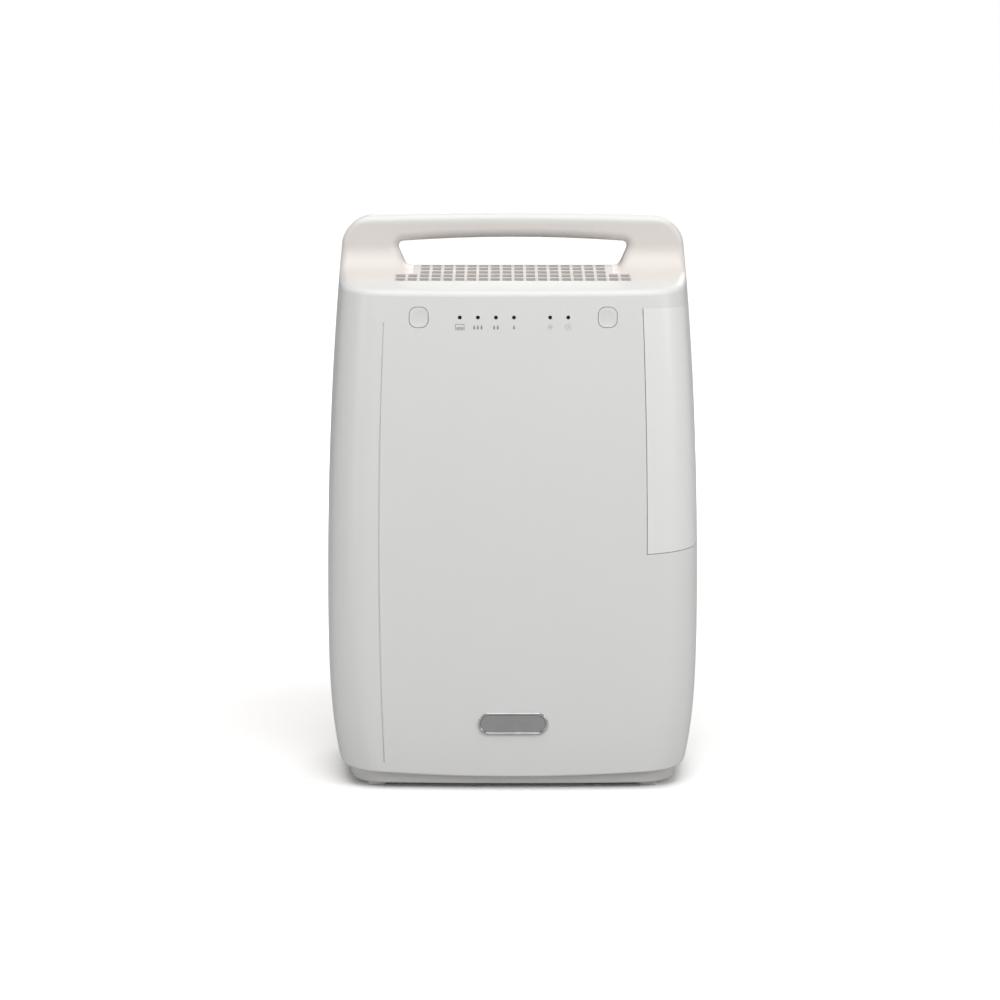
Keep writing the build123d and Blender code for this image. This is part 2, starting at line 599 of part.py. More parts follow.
grip_area = Pos(9, 170) * RectangleRounded(76, 30, 12)
grip_hole = prism_x(grip_area, 120, 200)
grip_cup = prism_x(Pos(9, 170) * RectangleRounded(81, 35, 14), TANK_X1 + 0.5, 200)
grip_cup -= prism_x(grip_area, TANK_X1 + 3, 200)
inner_room = hull(4, 300, WALL - 0.5)
ribs = [
    block((TANK_X1, 200), (TANK_Y0 + 6, TANK_Y1 - 8), (z, z + 2.0)) for z in (60, 100, 140)
]
window_area = Pos(58, 100) * SlotOverall(104, 9, rotation=90)
panel = (shell & tank_window(SEAM)) - grip_hole
panel += (grip_cup & inner_room) + [rib & inner_room for rib in ribs]
panel -= prism_x(window_area, 120, 200)
nodes["tank_panel"] = panel
level_window = prism_x(Pos(58, 100) * SlotOverall(103.6, 8.6, rotation=90), 120, 200)
nodes["level_window"] = (level_window & form) - hull(4, 300, WALL)

PIVOT = (56.0, 0.0, 178.0)
float_arm = block((54, 112), (-4, 4), (166, 169)) + block((53, 59), (-4, 4), (166, 181))
float_arm -= rod(1.6, (PIVOT[0], -10, PIVOT[2]), (0, 1, 0), 20)
nodes["float_arm"] = float_arm
floater = block((72, 114), (-24, 24), (140, 166))
nodes["float_block"] = floater.fillet(4, floater.edges().filter_by(Axis.Z))
nodes["float_magnet"] = rod(3.5, (62.5, 0, 160), (0, 0, 1), 6)
ears = [block((53, 59), (y, y + 2.5), (171, TANK_Z1)) for y in (-8, 5.5)]
nodes["tank_lid"] += ears
nodes["tank_lid"] += rod(1.5, (PIVOT[0], -8, PIVOT[2]), (0, 1, 0), 16)
nodes["tank_sensor"] = block((BAY_X - 5, BAY_X), (-14, 14), (150, 172))


# ------------------------------------------------------------------ evaporator and condenser
def coil(y):
    """One serpentine tube with its return bends, and the finned stack that it runs through."""
    heights = [COIL_FOOT_Z + COIL_PITCH * row for row in range(COIL_ROWS)]
    tube = rod(COIL_TUBE_R, (-COIL_HALF_X - 6, y, heights[0]), (1, 0, 0), 2 * COIL_HALF_X + 9)
    for row in range(1, COIL_ROWS):
        z = heights[row]
        tube += rod(COIL_TUBE_R, (-COIL_HALF_X - 3, y, z), (1, 0, 0), 2 * COIL_HALF_X + 6)
        side = 1 if row % 2 else -1
        start = side * (COIL_HALF_X + 3)
        ring = Plane.YZ * (Pos(y, z) * Circle(COIL_TUBE_R))
        axis = Axis((0, y, z - COIL_PITCH / 2), (0, 1, 0))
        bend = Pos(start, 0, 0) * revolve(ring, axis, side * 180)
        tube += bend
    tube += rod(COIL_TUBE_R, (-COIL_HALF_X - 6, y, heights[-1]), (1, 0, 0), 6)
    low, high = heights[0] - 11, heights[-1] + 9
    holes = [Pos(y, z) * Circle(COIL_TUBE_R + 0.15) for z in heights]
    leaf = Pos(y, (low + high) / 2) * Rectangle(FIN_DEPTH, high - low) - holes
    pitch = 2 * COIL_HALF_X / FIN_COUNT
    fin = prism_x(leaf, 0, FIN_T)
    return tube, [Pos((i + 0.5) * pitch - COIL_HALF_X, 0, 0) * fin for i in range(FIN_COUNT)], leaf


FIN_COUNT, FIN_T = 42, 0.5
for name, y in (("evaporator", EVAPORATOR_Y), ("condenser", CONDENSER_Y)):
    tube, fins, leaf = coil(y)
    nodes[name + "_tube"] = tube
    nodes[name + "_fins"] = Compound([fin.solid() for fin in fins])
    ends = [prism_x(leaf, x, x + 1.2) for x in (-COIL_HALF_X - 1.2, COIL_HALF_X)]
    nodes[name + "_end_plates"] = Compound([end.solid() for end in ends])

gasket = intake_area(-2.0, 9) - intake_area(5, 4)
nodes["coil_gasket"] = prism_y(gasket, EVAPORATOR_Y + FIN_DEPTH / 2, GRID_Y)


# ------------------------------------------------------------------ refrigerant pipes
PIPE_R, LIQUID_R, CAPILLARY_R = 3.5, 2.6, 1.4
RISER_X = -141.0              # the pipes run up and down beside the left ends of the coils
DRIER_Y, DRIER_LOW_Z, DRIER_HIGH_Z = 44.0, 250.0, 300.0
coil_x = -COIL_HALF_X - 6
low_z = COIL_FOOT_Z
high_z = COIL_FOOT_Z + COIL_PITCH * (COIL_ROWS - 1)
between_bends_z = COIL_FOOT_Z + 4.5 * COIL_PITCH
between_coils_y = (EVAPORATOR_Y + CONDENSER_Y) / 2
pipe_holes = []


def drop(x, y):
    """Clearance hole in the deck for a pipe that comes down through it."""
    pipe_holes.append(rod(PIPE_R + 2.5, (x, y, DECK_Z - 5), (0, 0, 1), 10))


nodes["suction_pipe"] = pipe(
    [(coil_x, EVAPORATOR_Y, low_z), (RISER_X, EVAPORATOR_Y, low_z), (RISER_X, EVAPORATOR_Y, 199),
     (-60, EVAPORATOR_Y, 199), (ACC_X, 40, 199), (ACC_X, ACC_Y, 199), (ACC_X, ACC_Y, 170)],
    PIPE_R, 6)
drop(RISER_X, EVAPORATOR_Y)
nodes["discharge_pipe"] = pipe(
    [(COMP_X - 28, COMP_Y, COMP_HIGH_Z), (COMP_X - 28, COMP_Y, 204), (RISER_X, COMP_Y, 204),
     (RISER_X, 30, 204), (RISER_X, 30, high_z + 14), (RISER_X, CONDENSER_Y, high_z + 14),
     (RISER_X, CONDENSER_Y, high_z), (coil_x, CONDENSER_Y, high_z)],
    PIPE_R, 6)
drop(RISER_X, 30)
deck -= pipe_holes
nodes["mid_deck"] = deck

nodes["filter_drier"] = Pos(RISER_X, DRIER_Y, 0) * can(6.5, DRIER_LOW_Z, DRIER_HIGH_Z, 2.5)
nodes["liquid_pipe"] = pipe(
    [(coil_x, CONDENSER_Y, low_z), (RISER_X, CONDENSER_Y, low_z), (RISER_X, DRIER_Y, low_z),
     (RISER_X, DRIER_Y, DRIER_LOW_Z)],
    LIQUID_R, 4)
nodes["capillary_tube"] = pipe(
    [(RISER_X, DRIER_Y, DRIER_HIGH_Z), (RISER_X, DRIER_Y, between_bends_z),
     (RISER_X, between_coils_y, between_bends_z), (RISER_X, between_coils_y, high_z),
     (RISER_X, EVAPORATOR_Y, high_z), (coil_x, EVAPORATOR_Y, high_z)],
    CAPILLARY_R, 4)


# ------------------------------------------------------------------ fan, motor and scroll
SCROLL_Y0, SCROLL_Y1, SCROLL_T = -16.0, 44.0, 2.0
MOTOR_R, MOTOR_Y0 = 38.0, -62.0


def scroll_area(shrink):
    """Fan scroll in front view: a widening turn round the wheel that opens upwards."""
    left, right, foot, top = -84 + shrink, 98 - shrink, FAN_Z - 88 + shrink, 446.0
    turn = (
        Line((-98 + shrink, top), (-98 + shrink, 404))
        + ThreePointArc((-98 + shrink, 404), (-92 + shrink, 384), (left, FAN_Z + 34))
        + ThreePointArc((left, FAN_Z + 34), (-56 + shrink * 0.7, foot + 22), (4, foot))
        + ThreePointArc((4, foot), (70 - shrink * 0.7, FAN_Z - 62 + shrink * 0.7), (right, FAN_Z + 8))
        + Line((right, FAN_Z + 8), (right, top))
        + Line((right, top), (-98 + shrink, top))
    )
    return make_face(turn)


scroll = prism_y(scroll_area(0), SCROLL_Y0, SCROLL_Y1)
scroll -= prism_y(scroll_area(SCROLL_T), SCROLL_Y0 + SCROLL_T, SCROLL_Y1 - SCROLL_T)
scroll -= rod(56, (0, SCROLL_Y1 - 5, FAN_Z), (0, 1, 0), 10)
scroll -= rod(9, (0, SCROLL_Y0 - 5, FAN_Z), (0, 1, 0), 10)
scroll -= block((-96 + 2, 96), (SCROLL_Y0 + SCROLL_T, SCROLL_Y1 - SCROLL_T), (436, 470))
scroll -= above_shoulder(WALL + 2.5)
nodes["fan_scroll"] = scroll


def blade():
    """One forward-curved blade, seen along the shaft."""
    inner, outer, sweep_deg = FAN_R - 15, FAN_R - 1, 9
    mid = (inner + outer) / 2
    middle = (mid * cos(radians(sweep_deg * 0.25)), mid * sin(radians(sweep_deg * 0.25)))
    tip = (outer * cos(radians(sweep_deg)), outer * sin(radians(sweep_deg)))
    line = ThreePointArc((inner, 0), middle, tip)
    return make_face(offset(line, amount=0.7))


BLADES = 32
wheel = rod(FAN_R, (0, FAN_Y0, FAN_Z), (0, 1, 0), 2)
wheel += rod(14, (0, FAN_Y0, FAN_Z), (0, 1, 0), 26)
rim_ring = (Circle(FAN_R) - Circle(FAN_R - 6))
wheel += prism_y(Pos(0, FAN_Z) * rim_ring, FAN_Y1 - 3, FAN_Y1)
one = blade()
wheel += [prism_y(Pos(0, FAN_Z) * (Rot(0, 0, 360 / BLADES * i) * one), FAN_Y0 + 1, FAN_Y1 - 1)
          for i in range(BLADES)]
wheel -= rod(SHAFT_R, (0, FAN_Y0 - 5, FAN_Z), (0, 1, 0), 50)
nodes["fan_impeller"] = wheel
nodes["fan_shaft"] = rod(SHAFT_R, (0, MOTOR_Y0 - 3, FAN_Z), (0, 1, 0), 20 - MOTOR_Y0 + 3)

motor = rod(MOTOR_R, (0, MOTOR_Y0, FAN_Z), (0, 1, 0), SCROLL_Y0 - MOTOR_Y0 - 4)
motor = motor.fillet(4, motor.edges())
motor -= rod(SHAFT_R + RUNNING_GAP, (0, -120, FAN_Z), (0, 1, 0), 200)
nodes["fan_motor"] = motor
cross = SlotOverall(110, 14) + Rot(0, 0, 90) * SlotOverall(110, 14) + Circle(22)
arm = Pos(0, FAN_Z) * (cross - Circle(12))
bracket = prism_y(arm, SCROLL_Y0 - 4, SCROLL_Y0)
nodes["motor_bracket"] = bracket


# ------------------------------------------------------------------ electrics
power = block((-118, -20), (-92, -90.4), (60, 180))
power += block((-110, -70), (-90.4, -72), (70, 110))
power += block((-60, -40), (-90.4, -76), (130, 150))
power += block((-104, -86), (-90.4, -76), (136, 160))
nodes["power_board"] = power
nodes["run_capacitor"] = Pos(8, 62, 0) * extrude(Pos(0, 0, PAN_FLOOR_Z + PAN_T) * Circle(16), 62)
nodes["humidity_sensor"] = block((-104, -84), (86, 90.5), (419, 430.5))

# ------------------------------------------------------------------ mains cord entry
GLAND_X, GLAND_Z = -96.0, 44.0
gland_y = half_depth(GLAND_Z) - 2
rear_casing -= rod(7.2, (GLAND_X, 60, GLAND_Z), (0, 1, 0), 80)
gland = rod(7.0, (GLAND_X, gland_y - 8, GLAND_Z), (0, 1, 0), 10)
gland += rod(10.0, (GLAND_X, gland_y + 1.7, GLAND_Z), (0, 1, 0), 1.8)
gland += rod(10.0, (GLAND_X, gland_y - 6.5, GLAND_Z), (0, 1, 0), 1.8)
nodes["cord_gland"] = gland - rod(3.6, (GLAND_X, 60, GLAND_Z), (0, 1, 0), 80)


# ------------------------------------------------------------------ casing screws
CASE_SCREW_R, CASE_HEAD_R = 1.9, 3.8
screws = []


def casing_screw(x, z, seat_y, length):
    """Screw driven forwards through the rear casing, its head sunk below the surface."""
    head = rod(CASE_HEAD_R, (x, seat_y, z), (0, 1, 0), 2.2)
    shank = rod(CASE_SCREW_R, (x, seat_y - length, z), (0, 1, 0), length)
    screws.append((head + shank).solid())
    well = rod(CASE_HEAD_R + 0.4, (x, seat_y, z), (0, 1, 0), 60)
    return well + rod(CASE_SCREW_R + 0.2, (x, seat_y - 20, z), (0, 1, 0), 40)


DECK_BOSS_Z = DECK_Z - 6
for x in (-DECK_BOSS_X, DECK_BOSS_X):
    sleeve = rod(CASE_HEAD_R + 2.2, (x, 92.4, DECK_BOSS_Z), (0, 1, 0), 20) & form
    rear_casing += sleeve
    rear_casing -= casing_screw(x, DECK_BOSS_Z, 94.5, 12)
    nodes["mid_deck"] -= rod(CASE_SCREW_R, (x, 82.5, DECK_BOSS_Z), (0, 1, 0), 20)

HANDLE_SCREW_X, HANDLE_SCREW_Z = 126.0, 474.0
for x in (-HANDLE_SCREW_X, HANDLE_SCREW_X):
    boss = rod(4.6, (x, -BAR_HALF + 3, HANDLE_SCREW_Z), (0, 1, 0), BAR_HALF - 3 + SPLIT_Y - SEAM / 2)
    front_casing += boss
    rear_casing -= casing_screw(x, HANDLE_SCREW_Z, 12.2, 14)
    front_casing -= rod(CASE_SCREW_R, (x, 12.2 - 14, HANDLE_SCREW_Z), (0, 1, 0), 30)

nodes["casing_screws"] = Compound(screws)
nodes["front_casing"] = front_casing
nodes["rear_casing"] = rear_casing

# ------------------------------------------------------------------ write one file per node
for name, shape in nodes.items():
    export_step(shape, "parts/" + name + ".step")
print(len(nodes), "nodes written")
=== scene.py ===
import bpy
import bmesh
from math import cos, pi, radians, sin
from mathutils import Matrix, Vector
from mathutils.bvhtree import BVHTree


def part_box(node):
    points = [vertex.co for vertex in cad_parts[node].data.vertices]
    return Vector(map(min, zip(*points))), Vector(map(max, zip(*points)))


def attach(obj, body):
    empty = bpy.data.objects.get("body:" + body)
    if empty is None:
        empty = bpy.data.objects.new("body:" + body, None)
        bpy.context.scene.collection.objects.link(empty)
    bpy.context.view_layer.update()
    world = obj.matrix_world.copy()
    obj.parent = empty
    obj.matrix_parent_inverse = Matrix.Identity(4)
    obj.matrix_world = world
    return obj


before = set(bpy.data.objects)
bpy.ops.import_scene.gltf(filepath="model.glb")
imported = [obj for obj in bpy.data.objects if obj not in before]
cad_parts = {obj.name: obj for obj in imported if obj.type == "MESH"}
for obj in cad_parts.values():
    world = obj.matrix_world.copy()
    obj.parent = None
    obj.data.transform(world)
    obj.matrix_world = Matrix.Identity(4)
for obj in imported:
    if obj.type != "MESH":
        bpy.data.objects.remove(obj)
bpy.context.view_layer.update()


# ---- Base pan and feet
# The pan is a grey polypropylene tray that carries the compressor and catches drips.
# Four pale feet are moulded separately and fixed under its corners.


def put(tree, kind, inputs=None, **settings):
    """Adds a shader node, sets it up and joins or fills its inputs."""
    made = tree.nodes.new("ShaderNode" + kind)
    for key, value in settings.items():
        setattr(made, key, value)
    for key, value in (inputs or {}).items():
        if isinstance(value, bpy.types.NodeSocket):
            tree.links.new(value, made.inputs[key])
        else:
            made.inputs[key].default_value = value
    return made


def calc(tree, operation, first, second=0.0, third=0.0):
    """One step of arithmetic on sockets or numbers."""
    inputs = {0: first, 1: second, 2: third}
    return put(tree, "Math", inputs, operation=operation, use_clamp=False).outputs[0]


def spread(tree, value, low, high, to_low=0.0, to_high=1.0):
    """Carries a value from one range to another, held at its ends."""
    inputs = {0: value, 1: low, 2: high, 3: to_low, 4: to_high}
    return put(tree, "MapRange", inputs, interpolation_type="SMOOTHSTEP").outputs[0]


def mixed(tree, factor, first, second):
    """Goes from the first colour to the second as the factor rises to 1."""
    inputs = {0: factor, 6: first, 7: second}
    return put(tree, "Mix", inputs, data_type="RGBA").outputs[2]


def cloud(tree, place, scale, detail=3.0, rough=0.55):
    """Soft noise, with its scale in patches per metre."""
    inputs = {"Vector": place, "Scale": scale, "Detail": detail, "Roughness": rough}
    return put(tree, "TexNoise", inputs).outputs[0]


def new_group(name, inputs, outputs):
    """A shader group to be filled: inputs are (label, kind, value), outputs (label, kind)."""
    tree = bpy.data.node_groups.new(name, "ShaderNodeTree")
    for label, kind, value in inputs:
        socket = tree.interface.new_socket(
            label, in_out="INPUT", socket_type="NodeSocket" + kind)
        socket.default_value = value
    for label, kind in outputs:
        tree.interface.new_socket(label, in_out="OUTPUT", socket_type="NodeSocket" + kind)
    given = tree.nodes.new("NodeGroupInput").outputs
    out = tree.nodes.new("NodeGroupOutput").inputs
    return tree, given, out


def build_moulded_skin():
    """Spark-eroded tool texture, faint flow mottling and handled patches of a moulding.
    Grain is in pits per metre; Mottle and Handling are how far tone and roughness stray."""
    tree, given, out = new_group(
        "moulded skin",
        [("Color", "Color", (0.8, 0.8, 0.8, 1)), ("Mottle", "Float", 0.03),
         ("Roughness", "Float", 0.4), ("Handling", "Float", 0.06),
         ("Grain", "Float", 1800.0)],
        [("Color", "Color"), ("Roughness", "Float"), ("Height", "Float")])
    place = put(tree, "TexCoord").outputs["Object"]
    flow = cloud(tree, place, scale=14.0, detail=4.0)
    shade = calc(tree, "MULTIPLY_ADD", calc(tree, "SUBTRACT", flow, 0.5), given["Mottle"], 1.0)
    tint = put(tree, "Mix", {0: 1.0, 6: given["Color"], 7: shade},
               data_type="RGBA", blend_type="MULTIPLY").outputs[2]
    tree.links.new(tint, out["Color"])
    smears = calc(tree, "SUBTRACT", cloud(tree, place, scale=46.0, detail=5.0, rough=0.7), 0.5)
    rough = calc(tree, "MULTIPLY_ADD", smears, given["Handling"], given["Roughness"])
    tree.links.new(rough, out["Roughness"])
    pits = cloud(tree, place, given["Grain"], detail=2.0)
    waves = calc(tree, "MULTIPLY", cloud(tree, place, scale=120.0, detail=2.0), 0.5)
    tree.links.new(calc(tree, "ADD", pits, waves), out["Height"])
    return tree


def build_edge_wear():
    """A broken mask along sharp edges, where a finish is rubbed through or polished.
    Radius is how far in from an edge the wear reaches, in metres."""
    tree, given, out = new_group(
        "edge wear",
        [("Radius", "Float", 0.0006), ("Breakup", "Float", 300.0), ("Amount", "Float", 0.5)],
        [("Mask", "Float")])
    soft = put(tree, "Bevel", {"Radius": given["Radius"]}, samples=6).outputs[0]
    own = put(tree, "NewGeometry").outputs["Normal"]
    turn = put(tree, "VectorMath", {0: soft, 1: own}, operation="DOT_PRODUCT").outputs["Value"]
    edge = spread(tree, turn, low=0.995, high=0.86)
    place = put(tree, "TexCoord").outputs["Object"]
    broken = spread(tree, cloud(tree, place, given["Breakup"], detail=4.0), low=0.34, high=0.62)
    tree.links.new(
        calc(tree, "MULTIPLY", calc(tree, "MULTIPLY", edge, broken), given["Amount"]),
        out["Mask"])
    return tree


def build_settled_dust():
    """A thin film of dust on whatever faces up, thicker in patches."""
    tree, given, out = new_group(
        "settled dust", [("Amount", "Float", 0.2)], [("Mask", "Float")])
    coord = put(tree, "TexCoord").outputs
    up = put(tree, "SeparateXYZ", {0: coord["Normal"]}).outputs[2]
    drifts = cloud(tree, coord["Object"], scale=60.0, detail=6.0, rough=0.65)
    patches = spread(tree, drifts, low=0.3, high=0.75)
    lying = calc(tree, "MULTIPLY", spread(tree, up, low=0.35, high=0.98), patches)
    tree.links.new(calc(tree, "MULTIPLY", lying, given["Amount"]), out["Mask"])
    return tree


moulded_skin = build_moulded_skin()
edge_wear = build_edge_wear()
settled_dust = build_settled_dust()
DUST_COLOR = (0.46, 0.44, 0.41, 1)
POLISH, DUST_DULLING = -0.12, 0.3      # change of roughness at worn edges and under dust
WORN_GAIN, WORN_LIFT = 1.12, 0.02      # how much paler a worn edge is, where none is given
RELIEF_DEPTH = 0.0003                  # height of tool grain and drawing lines


def material_of(name, **shader_values):
    """A new material and its shader, with the values that are the same all over."""
    material = bpy.data.materials.new(name)
    material.use_nodes = True
    shader = material.node_tree.nodes["Principled BSDF"]
    for key, value in shader_values.items():
        shader.inputs[key.replace("_", " ")].default_value = value
    return material, material.node_tree, shader


def moulding(name, color, roughness, grain=1800.0, relief=0.1, mottle=0.03, handling=0.08,
             wear=0.3, worn=None, dust=0.1, **shader_values):
    """Moulded plastic: tool grain, mottling, polished edges and a little dust."""
    material, tree, shader = material_of(name, **shader_values)
    skin = put(tree, "Group", {
        "Color": (*color, 1), "Mottle": mottle, "Roughness": roughness,
        "Handling": handling, "Grain": grain}, node_tree=moulded_skin).outputs
    rubbed = put(tree, "Group", {"Amount": wear}, node_tree=edge_wear).outputs["Mask"]
    lying = put(tree, "Group", {"Amount": dust}, node_tree=settled_dust).outputs["Mask"]
    lighter = worn or tuple(min(1.0, part * WORN_GAIN + WORN_LIFT) for part in color)
    base = mixed(tree, rubbed, skin["Color"], (*lighter, 1))
    base = mixed(tree, lying, base, DUST_COLOR)
    tree.links.new(base, shader.inputs["Base Color"])
    polished = calc(tree, "MULTIPLY_ADD", rubbed, POLISH, skin["Roughness"])
    dull = calc(tree, "MULTIPLY_ADD", lying, DUST_DULLING, polished)
    tree.links.new(dull, shader.inputs["Roughness"])
    bump = put(tree, "Bump", {
        "Strength": relief, "Distance": RELIEF_DEPTH, "Height": skin["Height"]})
    tree.links.new(bump.outputs[0], shader.inputs["Normal"])
    return material


def dress(material, *names):
    """Gives a finish to CAD pieces."""
    for name in names:
        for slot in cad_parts[name].material_slots:
            slot.material = material


pan_finish = moulding(
    "grey pan polypropylene", (0.68, 0.67, 0.665), roughness=0.52, relief=0.22, dust=0.25)
foot_finish = moulding("pale foot moulding", (0.72, 0.71, 0.70), roughness=0.45, relief=0.15)
dress(pan_finish, "base_pan")
dress(foot_finish, "feet")


# ---- Compressor set
# A hermetic compressor welded from two drawn steel cups and enamelled black, on rubber
# grommets and studs, with its suction accumulator held to it by a plated steel strap.


def build_drawn_metal():
    """Fine drawing lines and blotches of sheet metal. Lines are counted per metre, and
    Stretch draws them out along the axis where it is smallest."""
    tree, given, out = new_group(
        "drawn metal",
        [("Color", "Color", (0.6, 0.6, 0.6, 1)), ("Second", "Color", (0.5, 0.5, 0.5, 1)),
         ("Stretch", "Vector", (1.0, 1.0, 1.0)), ("Lines", "Float", 900.0),
         ("Roughness", "Float", 0.35), ("Spread", "Float", 0.12)],
        [("Color", "Color"), ("Roughness", "Float"), ("Height", "Float")])
    place = put(tree, "TexCoord").outputs["Object"]
    drawn = put(tree, "VectorMath", {0: place, 1: given["Stretch"]}, operation="MULTIPLY")
    lines = cloud(tree, drawn.outputs[0], given["Lines"], detail=3.0)
    blots = cloud(tree, place, scale=38.0, detail=5.0, rough=0.65)
    blotch = spread(tree, blots, low=0.3, high=0.7)
    tree.links.new(mixed(tree, blotch, given["Color"], given["Second"]), out["Color"])
    blend = calc(tree, "SUBTRACT", calc(tree, "ADD", lines, blotch), 1.0)
    tree.links.new(
        calc(tree, "MULTIPLY_ADD", blend, given["Spread"], given["Roughness"]),
        out["Roughness"])
    tree.links.new(lines, out["Height"])
    return tree


drawn_metal = build_drawn_metal()
DRAWN_OUT = 0.04
ALONG_X, ALONG_Z, EVEN = (DRAWN_OUT, 1, 1), (1, 1, DRAWN_OUT), (1, 1, 1)


def metal(name, color, second, roughness, stretch=EVEN, lines=900.0, spread_by=0.12,
          relief=0.08, wear=0.4, worn=(0.8, 0.8, 0.8), metallic=1.0, **shader_values):
    """Sheet, tube or plated metal, with bright or rusted edges."""
    material, tree, shader = material_of(name, Metallic=metallic, **shader_values)
    skin = put(tree, "Group", {
        "Color": (*color, 1), "Second": (*second, 1), "Stretch": stretch, "Lines": lines,
        "Roughness": roughness, "Spread": spread_by}, node_tree=drawn_metal).outputs
    rubbed = put(tree, "Group", {"Amount": wear}, node_tree=edge_wear).outputs["Mask"]
    tree.links.new(mixed(tree, rubbed, skin["Color"], (*worn, 1)), shader.inputs["Base Color"])
    tree.links.new(skin["Roughness"], shader.inputs["Roughness"])
    bump = put(tree, "Bump", {
        "Strength": relief, "Distance": RELIEF_DEPTH, "Height": skin["Height"]})
    tree.links.new(bump.outputs[0], shader.inputs["Normal"])
    return material


enamel = metal(
    "black enamel", (0.012, 0.012, 0.013), (0.02, 0.02, 0.021), roughness=0.28, lines=260.0,
    relief=0.2, metallic=0.0, worn=(0.25, 0.24, 0.23), Coat_Weight=0.4, Coat_Roughness=0.15)
zinc = metal(
    "bright zinc plate", (0.62, 0.62, 0.60), (0.50, 0.51, 0.52), roughness=0.34,
    lines=420.0, worn=(0.75, 0.74, 0.70))
black_plastic = moulding(
    "black moulding", (0.02, 0.02, 0.022), roughness=0.42, relief=0.2,
    worn=(0.09, 0.09, 0.09), dust=0.3)
core_iron = metal(
    "laminated iron", (0.20, 0.19, 0.18), (0.30, 0.28, 0.26), roughness=0.5,
    stretch=ALONG_X, lines=1600.0)
grommet_rubber = moulding(
    "soft black rubber", (0.018, 0.018, 0.018), roughness=0.7, grain=900.0, relief=0.3,
    mottle=0.1, dust=0.35)
dress(enamel, "compressor", "suction_accumulator")
dress(core_iron, "compressor_core")
dress(grommet_rubber, "compressor_grommets")
dress(zinc, "compressor_nuts", "accumulator_strap")
dress(black_plastic, "terminal_cover")


# ---- Refrigerant circuit
# Two finned blocks, one behind the other: copper hairpins expanded into pressed aluminium
# fins, brazed to copper pipes, a drier and a capillary. Foam seals them to the rear wall.

copper = metal(
    "bare copper", (0.70, 0.36, 0.22), (0.52, 0.25, 0.16), roughness=0.3, stretch=ALONG_X,
    lines=700.0, relief=0.05, worn=(0.86, 0.55, 0.40))
fin_metal = metal(
    "coated aluminium fin", (0.74, 0.75, 0.76), (0.62, 0.64, 0.66), roughness=0.38,
    stretch=ALONG_Z, lines=1300.0, relief=0.12, wear=0.2)
gasket_foam = moulding(
    "dark closed-cell foam", (0.035, 0.035, 0.038), roughness=0.9, grain=700.0, relief=0.7,
    mottle=0.3, wear=0.0, dust=0.3)
dress(copper, "evaporator_tube", "condenser_tube", "suction_pipe", "discharge_pipe",
      "capillary_tube", "liquid_pipe", "filter_drier")
dress(fin_metal, "evaporator_fins", "condenser_fins")
dress(zinc, "evaporator_end_plates", "condenser_end_plates")
dress(gasket_foam, "coil_gasket")


# ---- Fan and motor
# A black nylon centrifugal impeller, pressed onto a plated shaft, turns in a white scroll
# moulding. Its enamelled motor sits on a pressed steel cross on the scroll's front wall.

white_plastic = moulding(
    "white moulding", (0.70, 0.70, 0.69), roughness=0.42, relief=0.14, dust=0.16)
dress(white_plastic, "fan_scroll")
dress(black_plastic, "fan_impeller")
dress(zinc, "fan_shaft", "motor_bracket")
dress(enamel, "fan_motor")


# ---- Deck, drip tray and tank bay
# Plain white mouldings: the bay lines the tank's place, the deck over it carries the coils
# and the fan, and a foamed tray under the coils leads the water down to the tank.

tray_foam = moulding(
    "foamed drip tray", (0.72, 0.72, 0.70), roughness=0.7, grain=500.0, relief=0.5,
    mottle=0.08, dust=0.2)
dress(white_plastic, "mid_deck", "tank_bay")
dress(tray_foam, "drip_tray")


# ---- Water tank
# A translucent polypropylene bucket with a white lid, clipped to an outer panel that
# matches the casing. The casing colour is painted a little warmer over its grip and scoops,
# for warm light falling there from above. A magnet on a float arm tells the sensor when the
# tank is full.

CASING_SKIN = {
    "grain": 1500.0, "relief": 0.05, "mottle": 0.02, "handling": 0.07, "wear": 0.2,
    "dust": 0.03, "Specular_IOR_Level": 0.4}
casing_finish = moulding(
    "pale gloss casing", (0.805, 0.81, 0.803), roughness=0.36, **CASING_SKIN)
tree = casing_finish.node_tree
shader = tree.nodes["Principled BSDF"]
clean = shader.inputs["Base Color"].links[0].from_socket
height = put(tree, "SeparateXYZ", {0: put(tree, "TexCoord").outputs["Object"]}).outputs[2]
GRIP_LOW, GRIP_HIGH, GRIP_FADE = 0.446, 0.500, 0.010     # heights of the grip and its scoops, where warm light is painted, and fade
WARM_LIGHT_TINT = (0.93, 0.875, 0.85, 1)
# Painted warm light: between these heights, over the handle bar and its scoops, the casing
# colour is tinted warmer, for warm light falling from above.
warm_light_band = calc(tree, "MULTIPLY", spread(tree, height, GRIP_LOW, GRIP_LOW + GRIP_FADE),
               spread(tree, height, GRIP_HIGH, GRIP_HIGH - GRIP_FADE / 2))
painted_warm_light = put(tree, "Mix", {0: warm_light_band, 6: clean, 7: WARM_LIGHT_TINT},
                   data_type="RGBA", blend_type="MULTIPLY")
tree.links.new(painted_warm_light.outputs[2], shader.inputs["Base Color"])
PLASTIC_IOR = 1.49
bucket_finish = moulding(
    "translucent polypropylene", (0.62, 0.67, 0.69), roughness=0.35, grain=800.0,
    relief=0.12, mottle=0.05, Transmission_Weight=0.35, IOR=PLASTIC_IOR,
    Subsurface_Weight=0.1)
window_finish = moulding(
    "clear level window", (0.80, 0.85, 0.88), roughness=0.08, grain=600.0, relief=0.03,
    mottle=0.02, handling=0.05, Transmission_Weight=0.9, IOR=PLASTIC_IOR)
float_foam = moulding(
    "white float foam", (0.82, 0.82, 0.79), roughness=0.8, grain=450.0, relief=0.5,
    mottle=0.06)
dress(bucket_finish, "tank_body")
dress(white_plastic, "tank_lid", "float_arm")
dress(casing_finish, "tank_panel")
dress(window_finish, "level_window")
dress(float_foam, "float_block")
dress(zinc, "float_magnet")
dress(black_plastic, "tank_sensor")

